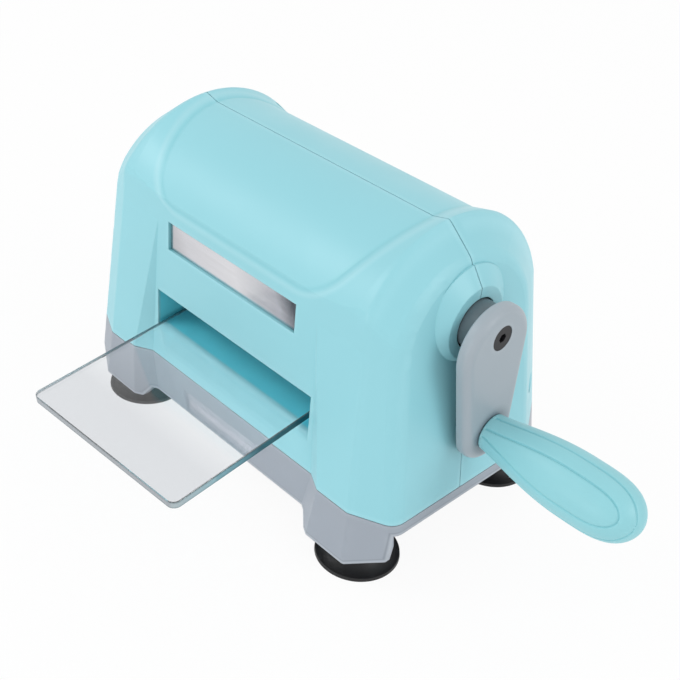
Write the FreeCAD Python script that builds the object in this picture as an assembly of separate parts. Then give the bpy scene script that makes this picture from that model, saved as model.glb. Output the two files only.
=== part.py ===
import FreeCAD, Part
import math
import os
from FreeCAD import Placement, Rotation, Vector

# Hand cranked die cutting and embossing machine.
# Millimetres and degrees. X runs to the crank side, Y to the back, Z up.
# The origin lies on the table, midway between the ends and under the seam of the two shells.

# Housing
parting_z = 29.4            # where the shells meet the base
apex_z = 124.1              # crown of the housing
wall = 2.5                  # shell wall
seam_gap = 0.3              # visible line between front and rear shell
parting_gap = 0.3           # visible line between shells and base
band_half = 66.9            # half width between the outer edges of the arched bands, at the parting
band_draft = 4.1            # their lean towards the middle
end_half = 82.2             # half width over the end faces, at the parting
end_draft = 7.3             # lean of the end faces
panel_y = -35.7             # flat front panel
pillar_top_z = 90.0         # height where the leaning pillars run into the panel
pillar_lean = 3.8
crown_y = 3.0               # highest line of the arch
crown_front_r = 45.1
crown_rear_r = 49.0
brow_r = 6.0                # soft turn from the panel into the arch
rear_brow_r = 12.0
rear_low_y = 61.0           # back wall at the parting
rear_lean = 10.6
shoulder_z = 114.5          # top of the end faces
shoulder_crown_r = 150.0
shoulder_r = 29.0           # round upper corners of the end faces
end_front_y = -31.5
end_rear_y = 31.5
end_front_lean = 1.1
end_rear_lean = 5.9
end_edge_r = 6.5            # rounding along the edges of the end faces
band_edge_r = 3.0           # rounding along the edges of the bands

# Recessed front panel between the pillars
pocket_half_low = 45.1      # at the parting
pocket_half_high = 41.5     # at the top of the pillars
pocket_half_foot = 40.8     # at the legs' lowest edge
pocket_slope_x = 7.0        # sloping cheek: sideways run
pocket_slope_y = 4.0        # sloping cheek: depth

# Sunk surface between the bands, from the front over the crown and down the back
sunk_r = 44.1
sunk_y = 2.75
sunk_z = 78.35
sunk_half = 53.3            # half width of its level part on the crown
sunk_side_lean = 29.0       # the level part narrows downwards
sunk_ramp = 7.2             # from there it rises to the edge of the band
sunk_proud = 0.3            # the ramp ends this far outside the band's edge
sunk_start = 165.0          # its arc begins at this angle, inside the front panel
sunk_front_low_z = 98.9     # just below where it runs out of the panel
sunk_tail = 40.0            # the back of it is flat from this angle down
sunk_tail_length = 26.0
sunk_rear_low_z = 87.0      # just below where it runs out of the back

# Name plate window
window_x = -1.9             # middle of the window
window_half = 33.5
window_low_z = 80.6
window_high_z = 91.8
window_depth = 1.0
label_thickness = 0.6
label_gap = 0.1             # around the plate in its window

# Rollers and gears
roller_length = 88.0
nip_floor_z = 47.75         # top of the lower roller
nip_gap = 7.25              # space between the rollers
gear_module = 1.25
sync_teeth = 25
drive_teeth = 33
pinion_teeth = 11
pressure_angle = 25.0
backlash = 0.16
tip_factor = 0.9
root_factor = 1.2
sync_width = 6.0
drive_width = 5.0
roller_shaft_r = 5.0
crank_shaft_r = 4.0

# Frames
frame_thickness = 3.0
frame_half_y = 25.0
frame_inner_x = 46.0
frame_foot_width = 10.0      # foot flange, turned inwards
frame_foot_screw_y = 17.0
frame_top_half = 18.0       # half width of the top of the tall frames
left_frame_top_z = 86.0
right_frame_top_z = 108.0
tie_rod_r = 3.0
tie_rod_y = 20.0
tie_rod_low_z = 26.0
tie_rod_high_z = 79.0
outer_frame_gap = 16.0      # from the right frame to the outer bearing frame
outer_frame_thickness = 2.5
standoff_low_y = 21.5
standoff_low_z = 38.0
standoff_high_y = 16.0
standoff_high_z = 101.5
bushing_wall = 2.0
flange_rise = 1.5
flange_thickness = 1.0
running_gap = 0.04          # radial clearance of a shaft in its bushing
seat_gap = 0.02             # radial clearance of a seated round fit
ring_thickness = 1.0
ring_rise = 2.0
ring_groove = 0.6
ring_land = 1.0             # shaft beyond a ring
gear_hub_r = 7.5
roller_chamfer = 0.6

# Feed throat through the front and back walls
throat_half = 41.8
throat_height = 16.3
throat_rear_half = 46.0
throat_rear_low_z = 45.0
throat_rear_high_z = 63.0
throat_wall = 2.0
lip_r = 3.0
feed_ledge_end_y = -15.0
rear_ledge_start_y = 42.0

# Cutting plate
plate_width = 76.0
plate_length = 127.0
plate_thickness = 3.0
plate_corner_r = 5.0
plate_edge_r = 0.5
plate_tilt = 6.0            # the outer end hangs lower
plate_yaw = 2.5             # it lies a little askew
plate_front_x = 0.5
plate_front_y = -91.5
rest_gap = 0.25             # plate above the roller and the lip

# Crank
crank_rest = 5.6            # the arm hangs this far behind the plumb line
crank_reach = 39.0
boss_r = 18.8
boss_face_r = 12.8
boss_root_x = 72.2
boss_face_x = 76.5
hub_hole_r = 9.0
collar_r = 8.5
collar_depth = 6.5          # collar inside the boss
arm_inner_x = 82.0
arm_thickness = 5.4
arm_head_r = 15.1
arm_head_drop = 4.8         # middle of the round head below the crank axis
arm_tip_r = 11.6
arm_edge_r = 3.0
arm_back_edge_r = 0.8
hub_screw_head_r = 4.4
hub_screw_head_height = 2.4
hub_screw_r = 2.0
hub_screw_length = 10.0
hub_screw_hex_r = 1.7
crank_shaft_start_x = 43.5

# Grip
grip_gap = 0.4              # between arm and grip
grip_length = 59.2
grip_root_r = 6.6
grip_max_r = 11.2
grip_max_at = 34.5          # distance of the widest place from the root
grip_fullness = 3.75        # higher keeps the grip thick nearer to its end
spindle_r = 3.0
spindle_depth = 30.0        # spindle inside the grip
spindle_neck_r = 2.5
spindle_neck_at = 22.0
spindle_neck_length = 3.0

# Base
base_wall = 2.5
arch_z = 12.8               # underside between the legs
end_arch_z = 25.2           # underside below the end faces
end_arch_half_y = 32.0
leg_z = 8.1                 # lowest edge of the legs
leg_inner_half = 44.0       # inner side of a leg, at the top of the arch
leg_foot_inner = 47.2       # lowest edge of a leg, from here
leg_foot_outer = 69.0       # to here
leg_corner_x = 81.4         # its outer lower corner
leg_corner_z = 14.4
end_arch_x = 76.3
deck_thickness = 2.5
well_half_x = 52.0
well_half_y = 27.0
gear_well_half_x = 59.5
gear_well_half_y = 19.0
locating_lip = 2.0          # lips that centre the shells on each other and on the base
lip_thickness = 1.2
lip_gap = 0.1

# Suction feet
foot_front_x = 62.0
foot_front_y = -26.2
foot_rear_x = 60.9
foot_rear_y = 49.5
foot_r = 15.3
foot_rim_width = 2.0
foot_rim_height = 1.2
foot_height = 8.4
foot_top_r = 8.5
foot_skin = 2.0
foot_neck_r = 3.0
foot_neck_height = 3.6
foot_bulb_r = 4.4
foot_bulb_height = 3.5
foot_boss_r = 8.0
foot_boss_floor = 2.4

# Fasteners
screw_shank_r = 1.5
screw_head_r = 2.8
screw_head_height = 1.8
screw_length = 12.0
screw_gap = 0.05
bolt_shank_r = 2.0
bolt_head_r = 3.5
bolt_head_height = 2.4
bolt_length = 9.0
floor_bolt_length = 5.4
boss_wall_r = 4.0
shell_boss_x = 55.0
shell_boss_high_z = 111.0
shell_boss_low_x = 72.0
shell_boss_low_z = 46.5
shell_screw_seat_y = 8.0    # depth of the screw heads behind the seam
shell_screw_length = 20.0
base_screw_front_x = 50.5
base_screw_front_y = -32.4
base_screw_rear_x = 26.0
base_screw_rear_y = 53.4

os.makedirs("parts", exist_ok=True)


# Small helpers

def sine(degrees):
    return math.sin(math.radians(degrees))


def cosine(degrees):
    return math.cos(math.radians(degrees))


def tangent(degrees):
    return math.tan(math.radians(degrees))


def box(x0, x1, y0, y1, z0, z1):
    return Part.makeBox(x1 - x0, y1 - y0, z1 - z0, Vector(x0, y0, z0))


def below(z):
    return box(-120, 120, -120, 120, -20, z)


def above(z):
    return box(-120, 120, -120, 120, z, 200)


def rod_x(r, x0, x1, y, z):
    return Part.makeCylinder(r, x1 - x0, Vector(x0, y, z), Vector(1, 0, 0))


def rod_y(r, y0, y1, x, z):
    return Part.makeCylinder(r, y1 - y0, Vector(x, y0, z), Vector(0, 1, 0))


def rod_z(r, z0, z1, x, y):
    return Part.makeCylinder(r, z1 - z0, Vector(x, y, z0), Vector(0, 0, 1))


def mirrored(shape):
    return shape.mirror(Vector(0, 0, 0), Vector(1, 0, 0))


def both_sides(shape):
    return [shape, mirrored(shape)]


def joined(first, others):
    return first.fuse(others).removeSplitter()


def polygon(points):
    return Part.Face(Part.makePolygon([Vector(*p) for p in points + points[:1]]))


def prism_x(points_yz, x0, x1):
    return polygon([(x0, y, z) for y, z in points_yz]).extrude(Vector(x1 - x0, 0, 0))


def turned(points_rz, origin, axis):
    """Body of revolution from a closed outline of radius and height."""
    face = polygon([(r, 0, h) for r, h in points_rz])
    body = face.revolve(Vector(0, 0, 0), Vector(0, 0, 1), 360)
    body.Placement = Placement(Vector(*origin), Rotation(Vector(0, 0, 1), Vector(*axis)))
    return body


def edges_where(shape, test):
    return [edge for edge in shape.Edges if test(edge)]


def save(name, shape):
    solids = shape.Solids
    whole = solids[0] if len(solids) == 1 else Part.makeCompound(solids)
    whole.exportStep("parts/" + name + ".step")


# Worked out places

roller_r = 0.5 * (gear_module * sync_teeth - nip_gap)
lower_roller_z = nip_floor_z - roller_r
upper_roller_z = lower_roller_z + gear_module * sync_teeth
crank_z = upper_roller_z + 0.5 * gear_module * (drive_teeth + pinion_teeth)
roller_half = 0.5 * roller_length
frame_outer_x = frame_inner_x + frame_thickness
sync_x = frame_outer_x + flange_thickness + 0.5
drive_x = sync_x + sync_width + 0.8
outer_frame_x = frame_outer_x + outer_frame_gap
outer_frame_end_x = outer_frame_x + outer_frame_thickness
floor_top_z = arch_z + deck_thickness
foot_boss_z = foot_height + 0.1
deck_top_z = end_arch_z + deck_thickness
shell_low_z = parting_z + 0.5 * parting_gap
base_top_z = parting_z - 0.5 * parting_gap
arm_outer_x = arm_inner_x + arm_thickness
plate_under_z = lower_roller_z + (roller_r + rest_gap) / cosine(plate_tilt)
lip_top_y = panel_y + lip_r
throat_low_z = plate_under_z + lip_top_y * tangent(plate_tilt) - rest_gap
throat_high_z = throat_low_z + throat_height


# Housing form

class Outline:
    """Closed outline on a plane that leans towards the middle of the machine."""

    def __init__(self, half, draft, start):
        self.half = half
        self.draft = draft
        self.first = start
        self.last = start
        self.edges = []

    def place(self, point):
        y, z = point
        return Vector(self.half - tangent(self.draft) * (z - parting_z), y, z)

    def line(self, point):
        self.edges.append(Part.makeLine(self.place(self.last), self.place(point)))
        self.last = point

    def arc(self, centre, r, start, end):
        middle = on_circle(centre, r, 0.5 * (start + end))
        stop = on_circle(centre, r, end)
        arc = Part.Arc(self.place(self.last), self.place(middle), self.place(stop))
        self.edges.append(arc.toShape())
        self.last = stop

    def close(self):
        self.line(self.first)
        return Part.Wire(self.edges)


def on_circle(centre, r, degrees):
    return (centre[0] + r * cosine(degrees), centre[1] + r * sine(degrees))


def bearing(centre, point):
    return math.degrees(math.atan2(point[1] - centre[1], point[0] - centre[0]))


def band_outline(inset, bottom):
    """Outline at the outer edge of the arched band: front, arch, back."""
    front = (crown_y, apex_z - crown_front_r)
    rear = (crown_y, apex_z - crown_rear_r)
    brow_y = panel_y + brow_r
    brow_rise = math.sqrt((crown_front_r - brow_r) ** 2 - (brow_y - crown_y) ** 2)
    brow = (brow_y, front[1] + brow_rise)
    across, up = cosine(rear_lean), sine(rear_lean)
    wall_reach = across * rear_low_y + up * parting_z - rear_brow_r
    off = wall_reach - across * rear[0] - up * rear[1]
    along = math.sqrt((crown_rear_r - rear_brow_r) ** 2 - off ** 2)
    rear_brow = (rear[0] + across * off - up * along, rear[1] + up * off + across * along)
    split, rear_split = 11.0, 50.0
    y = panel_y + inset
    outline = Outline(band_half, band_draft,
                      (y - tangent(pillar_lean) * (pillar_top_z - bottom), bottom))
    outline.line((y, pillar_top_z))
    outline.line((y, brow[1]))
    turn = bearing(front, brow)
    outline.arc(brow, brow_r - inset, 180, turn)
    outline.arc(front, crown_front_r - inset, turn, 90 + split)
    outline.arc(front, crown_front_r - inset, 90 + split, 90)
    turn = bearing(rear, rear_brow)
    outline.arc(rear, crown_rear_r - inset, 90, 90 - split)
    outline.arc(rear, crown_rear_r - inset, 90 - split, rear_split)
    outline.arc(rear, crown_rear_r - inset, rear_split, turn)
    outline.arc(rear_brow, rear_brow_r - inset, turn, rear_lean)
    y, z = on_circle(rear_brow, rear_brow_r - inset, rear_lean)
    outline.line((y + tangent(rear_lean) * (z - bottom), bottom))
    return outline.close()


def end_outline(inset, bottom):
    """Outline of an end face: near upright sides, round corners, slightly crowned top."""
    middle = 0.5 * (end_front_y + end_rear_y)
    crown = (middle, shoulder_z - shoulder_crown_r)
    side = 0.5 * (end_rear_y - end_front_y) - shoulder_r
    tilt = math.degrees(math.asin(side / (shoulder_crown_r - shoulder_r)))
    corner_z = crown[1] + (shoulder_crown_r - shoulder_r) * cosine(tilt)
    front = (end_front_y + shoulder_r, corner_z)
    rear = (end_rear_y - shoulder_r, corner_z)
    r = shoulder_r - inset
    y = end_front_y + inset
    outline = Outline(end_half - inset, end_draft,
                      (y - tangent(end_front_lean) * (corner_z - bottom), bottom))
    outline.line((y, corner_z))
    outline.arc(front, r, 180, 165)
    outline.arc(front, r, 165, 150)
    outline.arc(front, r, 150, 90 + tilt)
    outline.arc(crown, shoulder_crown_r - inset, 90 + tilt, 90)
    outline.arc(crown, shoulder_crown_r - inset, 90, 90 - tilt)
    outline.arc(rear, r, 90 - tilt, 60)
    outline.arc(rear, r, 60, 30)
    outline.arc(rear, r, 30, 0)
    outline.line((end_rear_y - inset + tangent(end_rear_lean) * (corner_z - bottom), bottom))
    return outline.close()


def housing_form(inset, bottom):
    """The whole outer form, shrunk by inset, without its recesses."""
    band = band_outline(inset, bottom)
    end = end_outline(inset, bottom)
    middle = Part.makeLoft([mirrored(band), band], True, True)
    right = Part.makeLoft([band, end], True, True)
    return joined(middle, [right, mirrored(right)])


def lies_on(edge, half, draft, floor):
    first, last = edge.ParameterRange
    for share in (0.2, 0.5, 0.8):
        p = edge.valueAt(first + share * (last - first))
        if abs(abs(p.x) - half + tangent(draft) * (p.z - parting_z)) > 0.02:
            return False
    return max(v.Z for v in edge.Vertexes) > floor + 0.1


def rounded_form():
    """The outer form from the legs' lowest edge up, with its long edges rounded."""
    form = housing_form(0, leg_z)
    ends = edges_where(form, lambda e: lies_on(e, end_half, end_draft, leg_z))
    form = form.makeFillet(end_edge_r, ends)
    bands = edges_where(form, lambda e: lies_on(e, band_half, band_draft, leg_z))
    return form.makeFillet(band_edge_r, bands)


def pocket(inset, bottom):
    """What the recessed front panel takes out: widest at the parting, fading out upwards."""
    slope = math.hypot(pocket_slope_x, pocket_slope_y)
    nx, ny = pocket_slope_y / slope, pocket_slope_x / slope
    shift = nx * inset - (1 - ny) * inset * pocket_slope_x / pocket_slope_y

    def mouth(half, z):
        x, y = half + shift, panel_y + inset
        out_x, out_y = x + 2 * pocket_slope_x, y - 2 * pocket_slope_y
        corners = [(-x, y, z), (x, y, z), (out_x, out_y, z), (-out_x, out_y, z)]
        return Part.makePolygon([Vector(*c) for c in corners + corners[:1]])

    narrowing = (pocket_half_low - pocket_half_foot) / (parting_z - leg_z)
    return Part.makeLoft([mouth(pocket_half_low - narrowing * (parting_z - bottom), bottom),
                          mouth(pocket_half_low, parting_z),
                          mouth(pocket_half_high, pillar_top_z)], True, True)


def core_outline(x, front, rear, inset, tail):
    """Closed outline across the machine: two arcs that meet on the crown, then the tail."""
    (fy, fz, fr), (ry, rz, rr) = front, rear
    fr, rr = fr - inset, rr - inset

    def at(centre_y, centre_z, r, turn):
        y, z = on_circle((centre_y, centre_z), r, turn)
        return Vector(x, y, z)

    top = Vector(x, 0.5 * (fy + ry), 0.5 * (fz + fr + rz + rr))
    face = at(fy, fz, fr, sunk_start)
    back = at(ry, rz, rr, sunk_tail)
    run, out = tail(at, back, ry, rz, rr)
    low_z = sunk_rear_low_z - 10.0
    face_low = Vector(x, face.y, low_z)
    out_low = Vector(x, out.y, low_z)
    return Part.Wire([
        Part.makeLine(face_low, face),
        Part.Arc(face, at(fy, fz, fr, 0.5 * (sunk_start + 90)), top).toShape(),
        Part.Arc(top, at(ry, rz, rr, 0.5 * (90 + sunk_tail)), back).toShape(),
        run,
        Part.makeLine(out, out_low),
        Part.makeLine(out_low, face_low),
    ])


def straight_tail(at, back, y, z, r):
    """Straight, so that the surface runs out of the back of the form."""
    out = back + Vector(0, sine(sunk_tail), -cosine(sunk_tail)) * sunk_tail_length
    return Part.makeLine(back, out), out


def round_tail(at, back, y, z, r):
    """The arc goes on, nearly to its rearmost point."""
    out = at(y, z, r, 0.25 * sunk_tail)
    return Part.Arc(back, at(y, z, r, 0.5 * sunk_tail), out).toShape(), out


def leaning(outline):
    """The outline moved towards the middle by its depth below the crown."""
    shear = FreeCAD.Matrix()
    shear.A13 = tangent(sunk_side_lean)
    shear.A14 = -tangent(sunk_side_lean) * (sunk_z + sunk_r)
    return Part.Wire(outline.transformGeometry(shear).Edges)


def sunk_core(inset):
    """Body under the sunk surface, which is level in the middle and rises to the bands."""
    level = (sunk_y, sunk_z, sunk_r)
    out = sunk_proud
    front = (crown_y, apex_z - crown_front_r, crown_front_r + out)
    rear = (crown_y, apex_z - crown_rear_r, crown_rear_r + out)
    low = leaning(core_outline(sunk_half, level, level, inset, straight_tail))
    high = core_outline(sunk_half + sunk_ramp, front, rear, inset, round_tail)
    return Part.makeLoft([mirrored(high), mirrored(low), low, high], True, True)


def sunk_cutter(inset):
    """What lies outside the sunk surface."""
    end = sunk_half + sunk_ramp
    y0, y1, top = panel_y - 20.0, rear_low_y + 20.0, apex_z + 5.0
    block = prism_x([(y0, sunk_front_low_z), (sunk_y, sunk_front_low_z),
                     (sunk_y, sunk_rear_low_z), (y1, sunk_rear_low_z),
                     (y1, top), (y0, top)], -end, end)
    return block.cut(sunk_core(inset))


def inner_form(inset, bottom):
    """The form shrunk by inset, also under the sunk surface."""
    return housing_form(inset, bottom).cut(sunk_cutter(inset))


# Shells

def shell_boss(x, z, y0, y1):
    return rod_y(boss_wall_r, y0, y1, x, z)


def shell_screw_places():
    places = []
    for side in (-1, 1):
        places.append((side * shell_boss_x, shell_boss_high_z))
        places.append((side * shell_boss_low_x, shell_boss_low_z))
    return places


def base_screw_places():
    places = []
    for side in (-1, 1):
        places.append((side * base_screw_front_x, base_screw_front_y))
        places.append((side * base_screw_rear_x, base_screw_rear_y))
    return places


def throat_tunnel(half, y0, y1, z0, z1):
    """Floor, cheeks and ceiling of a feed throat as one block."""
    t = throat_wall
    return box(-half - t, half + t, y0, y1, z0 - t, z1 + t)


def front_throat_opening():
    """Open space of the front throat, with a rounded lower lip."""
    z0, z1 = throat_low_z, throat_high_z
    y0 = panel_y - 8.0
    straight = box(-throat_half, throat_half, panel_y - 8.0, feed_ledge_end_y + 1.0, z0, z1)
    lip = prism_x([(y0, z0 - lip_r), (lip_top_y, z0 - lip_r), (lip_top_y, z0), (y0, z0)],
                  -throat_half, throat_half)
    roll = rod_x(lip_r, -throat_half, throat_half, lip_top_y, z0 - lip_r)
    return joined(straight, [lip.cut(roll)])


def rear_throat_opening():
    return box(-throat_rear_half, throat_rear_half, rear_ledge_start_y - 1.0,
               rear_low_y + 4.0, throat_rear_low_z, throat_rear_high_z)


def whole_housing(form):
    """Both shells as one hollow casing, before they are parted."""
    outer = form.cut([below(parting_z), pocket(0, parting_z - 1.0), sunk_cutter(0)])
    boss = turned([(0, -4.0), (boss_r, -4.0), (boss_r, 0), (boss_face_r, boss_face_x - boss_root_x),
                   (0, boss_face_x - boss_root_x)], (boss_root_x, 0, crank_z), (1, 0, 0))
    outer = joined(outer, [boss])
    cavity = inner_form(wall, parting_z - 1.0).cut(pocket(wall, parting_z - 2.0))
    casing = outer.cut(cavity)

    inside = []
    for x, z in shell_screw_places():
        inside.append(shell_boss(x, z, panel_y - 4.0, rear_low_y))
    for x, y in base_screw_places():
        inside.append(rod_z(boss_wall_r, deck_top_z + lip_gap, throat_low_z - lip_r, x, y))
    front = throat_tunnel(throat_half, panel_y, feed_ledge_end_y, throat_low_z, throat_high_z)
    rear = throat_tunnel(throat_rear_half, rear_ledge_start_y, rear_low_y,
                         throat_rear_low_z, throat_rear_high_z)
    reach = inner_form(0.5 * wall, deck_top_z).cut(pocket(0.5 * wall, deck_top_z - 1.0))
    casing = joined(casing, [piece.common(reach) for piece in inside + [front, rear]])
    casing = casing.cut([front_throat_opening(), rear_throat_opening()])

    backing = window_depth + label_thickness
    window = box(window_x - window_half, window_x + window_half, panel_y - 1.0,
                 panel_y + backing, window_low_z, window_high_z)
    casing = casing.cut([window, rod_x(hub_hole_r, boss_root_x - 8.0, boss_face_x + 1.0, 0, crank_z)])
    holes = []
    for x, z in shell_screw_places():
        seat = shell_screw_seat_y
        holes.append(rod_y(screw_head_r + 0.4, seat, rear_low_y + 1.0, x, z))
        holes.append(rod_y(screw_shank_r + screw_gap, seat - shell_screw_length - 1.0, seat + 1.0, x, z))
    for x, y in base_screw_places():
        top = deck_top_z - deck_thickness + screw_length + 0.6
        holes.append(rod_z(screw_shank_r + screw_gap, deck_top_z - 1.0, top, x, y))
    return casing.cut(holes)


def half_space(y0, y1):
    return box(-120, 120, y0, y1, -10, 200)


def seam_lip():
    """Tongue of the rear shell that reaches behind the edge of the front shell."""
    outer = inner_form(wall + lip_gap, shell_low_z)
    inner = inner_form(wall + lip_gap + lip_thickness, parting_z - 1.0)
    tongue = outer.cut(inner).common(half_space(-locating_lip, 3.0))
    root = inner_form(wall - 0.3, shell_low_z).cut(inner).common(
        half_space(0.5 * seam_gap, 3.0))
    lip = joined(tongue, [root])
    cuts = [rod_x(hub_hole_r, boss_root_x - 8.0, boss_face_x + 1.0, 0, crank_z)]
    for x, z in shell_screw_places():
        cuts.append(rod_y(boss_wall_r + lip_gap, -locating_lip - 1.0, 0.5 * seam_gap, x, z))
    cuts.extend(both_sides(box(60, 90, -locating_lip - 1.0, 4.0, shell_low_z - 1.0,
                               shell_low_z + locating_lip + 1.0)))
    return lip.cut(cuts)


def make_shells(form):
    casing = whole_housing(form)
    inset = base_wall + lip_gap
    room = housing_form(inset, deck_top_z).cut(pocket(inset, deck_top_z - 1.0))
    kept = [rod_z(boss_wall_r + 0.01, deck_top_z, shell_low_z, x, y).common(room)
            for x, y in base_screw_places()]
    casing = casing.cut(below(shell_low_z).cut(kept))
    front = casing.common(half_space(-120, -0.5 * seam_gap))
    rear = joined(casing.common(half_space(0.5 * seam_gap, 120)), [seam_lip()])
    save("front_shell", front)
    save("rear_shell", rear)



def make_label_plate():
    y = panel_y + window_depth
    half = window_half - label_gap
    save("label_plate", box(window_x - half, window_x + half, y, y + label_thickness - seat_gap,
                            window_low_z + label_gap, window_high_z - label_gap))


# Base

def along_y(points_xz, y0, y1):
    corners = [(x, y0, z) for x, z in points_xz]
    return polygon(corners).extrude(Vector(0, y1 - y0, 0))


def base_cuts():
    """Arches between the legs and below the end faces; the legs taper to their lowest edge."""
    y0, y1 = panel_y - 30.0, rear_low_y + 30.0
    spread = leg_inner_half + (leg_foot_inner - leg_inner_half) * arch_z / (arch_z - leg_z)
    arch = along_y([(-spread, 0), (-leg_inner_half, arch_z), (leg_inner_half, arch_z),
                    (spread, 0)], y0, y1)
    top_x = end_half + tangent(end_draft) * (parting_z - end_arch_z)
    rise = (leg_corner_z - leg_z) / (leg_corner_x - leg_foot_outer)
    low_x = leg_foot_outer - leg_z / rise
    far_x = end_half + 30.0
    side = along_y([(low_x, 0), (leg_corner_x, leg_corner_z), (top_x, end_arch_z),
                    (far_x, end_arch_z), (far_x, 0)], y0, y1)
    end = box(end_arch_x, far_x, -end_arch_half_y, end_arch_half_y, 0, end_arch_z)
    return [arch] + both_sides(side) + both_sides(end)


def well(inset, z0, z1):
    wide = box(-well_half_x - inset, well_half_x + inset, -well_half_y - inset,
               well_half_y + inset, z0, z1)
    gears = box(0, gear_well_half_x + inset, -gear_well_half_y - inset,
                gear_well_half_y + inset, z0, z1)
    return joined(wide, [gears])


def foot_places():
    places = []
    for row, x, y in (("front", foot_front_x, foot_front_y), ("rear", foot_rear_x, foot_rear_y)):
        for side, end in ((-1, "left"), (1, "right")):
            places.append((row + "_" + end, side * x, y))
    return places


def frame_foot_screw_places():
    x = frame_inner_x - 0.5 * frame_foot_width
    return [(sx * x, sy * frame_foot_screw_y) for sx in (-1, 1) for sy in (-1, 1)]


def make_base(form):
    outer = form.cut([above(base_top_z), pocket(0, leg_z - 1.0)])
    hollow = housing_form(base_wall, leg_z - 1.0).cut(pocket(base_wall, leg_z - 2.0))
    skirt = outer.cut(hollow).cut(base_cuts())

    plan = outer.common(hollow)
    deck = plan.common(box(-120, 120, -120, 120, end_arch_z, deck_top_z)).cut(
        well(0, end_arch_z - 1.0, deck_top_z + 1.0))
    tub = well(base_wall, arch_z, deck_top_z).cut(well(0, floor_top_z, deck_top_z + 1.0))
    inset = wall + lip_gap
    top_z = base_top_z + locating_lip
    lip = housing_form(inset, end_arch_z).cut(pocket(inset, end_arch_z - 1.0))
    lip = lip.cut([above(top_z), housing_form(inset + lip_thickness, end_arch_z - 1.0).cut(
        pocket(inset + lip_thickness, end_arch_z - 2.0))])
    for x, y in base_screw_places():
        lip = lip.cut(rod_z(boss_wall_r + 2 * lip_gap, deck_top_z, top_z + 1.0, x, y))
    bosses = [rod_z(foot_boss_r, foot_boss_z, deck_top_z, x, y) for name, x, y in foot_places()]
    base = joined(skirt.common(below(base_top_z)), [deck.fuse([tub]), lip] + bosses)

    holes = []
    floor_z = foot_boss_z + foot_boss_floor
    for name, x, y in foot_places():
        holes.append(rod_z(foot_boss_r - base_wall, floor_z, end_arch_z, x, y))
        holes.append(rod_z(foot_neck_r + screw_gap, foot_boss_z - 1.0, floor_z + 1.0, x, y))
    for x, y in base_screw_places():
        holes.append(rod_z(screw_shank_r + screw_gap, end_arch_z - 1.0, deck_top_z + 1.0, x, y))
    for x, y in frame_foot_screw_places():
        holes.append(rod_z(bolt_shank_r + screw_gap, arch_z - 1.0, floor_top_z + 1.0, x, y))
    save("base", base.cut(holes))


# Suction feet

def suction_foot(x, y):
    neck_z = foot_boss_z + foot_boss_floor + 0.1
    bulb_z = neck_z + foot_bulb_height
    rim = foot_r - foot_rim_width

    def at(r, z):
        return Vector(r, 0, z)

    edges = [
        Part.makeLine(at(rim, 0), at(foot_r, 0)),
        Part.makeLine(at(foot_r, 0), at(foot_r - 0.2, foot_rim_height)),
        Part.Arc(at(foot_r - 0.2, foot_rim_height), at(foot_top_r + 2.6, 0.36 * foot_height),
                 at(foot_top_r + 0.3, foot_height - 1.2)).toShape(),
        Part.makeLine(at(foot_top_r + 0.3, foot_height - 1.2), at(foot_top_r, foot_height)),
        Part.makeLine(at(foot_top_r, foot_height), at(foot_neck_r, foot_height)),
        Part.makeLine(at(foot_neck_r, foot_height), at(foot_neck_r, neck_z)),
        Part.makeLine(at(foot_neck_r, neck_z), at(foot_bulb_r, neck_z)),
        Part.makeLine(at(foot_bulb_r, neck_z), at(foot_bulb_r, neck_z + 0.5 * foot_bulb_height)),
        Part.makeLine(at(foot_bulb_r, neck_z + 0.5 * foot_bulb_height), at(foot_neck_r, bulb_z)),
        Part.makeLine(at(foot_neck_r, bulb_z), at(0, bulb_z)),
        Part.makeLine(at(0, bulb_z), at(0, foot_height - 2.0 * foot_skin)),
        Part.Arc(at(0, foot_height - 2.0 * foot_skin), at(0.55 * rim, foot_height - 2.6 * foot_skin),
                 at(rim, 0)).toShape(),
    ]
    body = Part.Face(Part.Wire(edges)).revolve(Vector(0, 0, 0), Vector(0, 0, 1), 360)
    body.translate(Vector(x, y, 0))
    return body


def make_feet():
    for name, x, y in foot_places():
        save("suction_foot_" + name, suction_foot(x, y))


# Frames

def frame_plate(x0, x1, top_z, top_half):
    outline = [(-frame_half_y, floor_top_z), (frame_half_y, floor_top_z),
               (frame_half_y, upper_roller_z), (top_half, top_z - 6.0),
               (top_half - 6.0, top_z), (6.0 - top_half, top_z),
               (-top_half, top_z - 6.0), (-frame_half_y, upper_roller_z)]
    return prism_x(outline, x0, x1)


def frame_foot():
    return box(frame_inner_x - frame_foot_width, frame_inner_x, -frame_half_y, frame_half_y,
               floor_top_z, floor_top_z + frame_thickness)


def tie_rod_places():
    return [(side * tie_rod_y, z) for side in (-1, 1) for z in (tie_rod_low_z, tie_rod_high_z)]


def standoff_places():
    return [(side * standoff_low_y, standoff_low_z) for side in (-1, 1)] + [
        (side * standoff_high_y, standoff_high_z) for side in (-1, 1)]


def side_frame_cuts(places):
    x0, x1 = frame_inner_x - 1.0, frame_outer_x + 1.0
    seat = roller_shaft_r + bushing_wall + seat_gap
    cuts = [rod_x(seat, x0, x1, 0, z) for z in (lower_roller_z, upper_roller_z)]
    cuts += [rod_x(bolt_shank_r + screw_gap, x0, x1, y, z) for y, z in places]
    low = floor_top_z
    for x, y in frame_foot_screw_places():
        cuts.append(rod_z(bolt_shank_r + screw_gap, low - 1.0, low + frame_thickness + 1.0, x, y))
    return cuts


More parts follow.
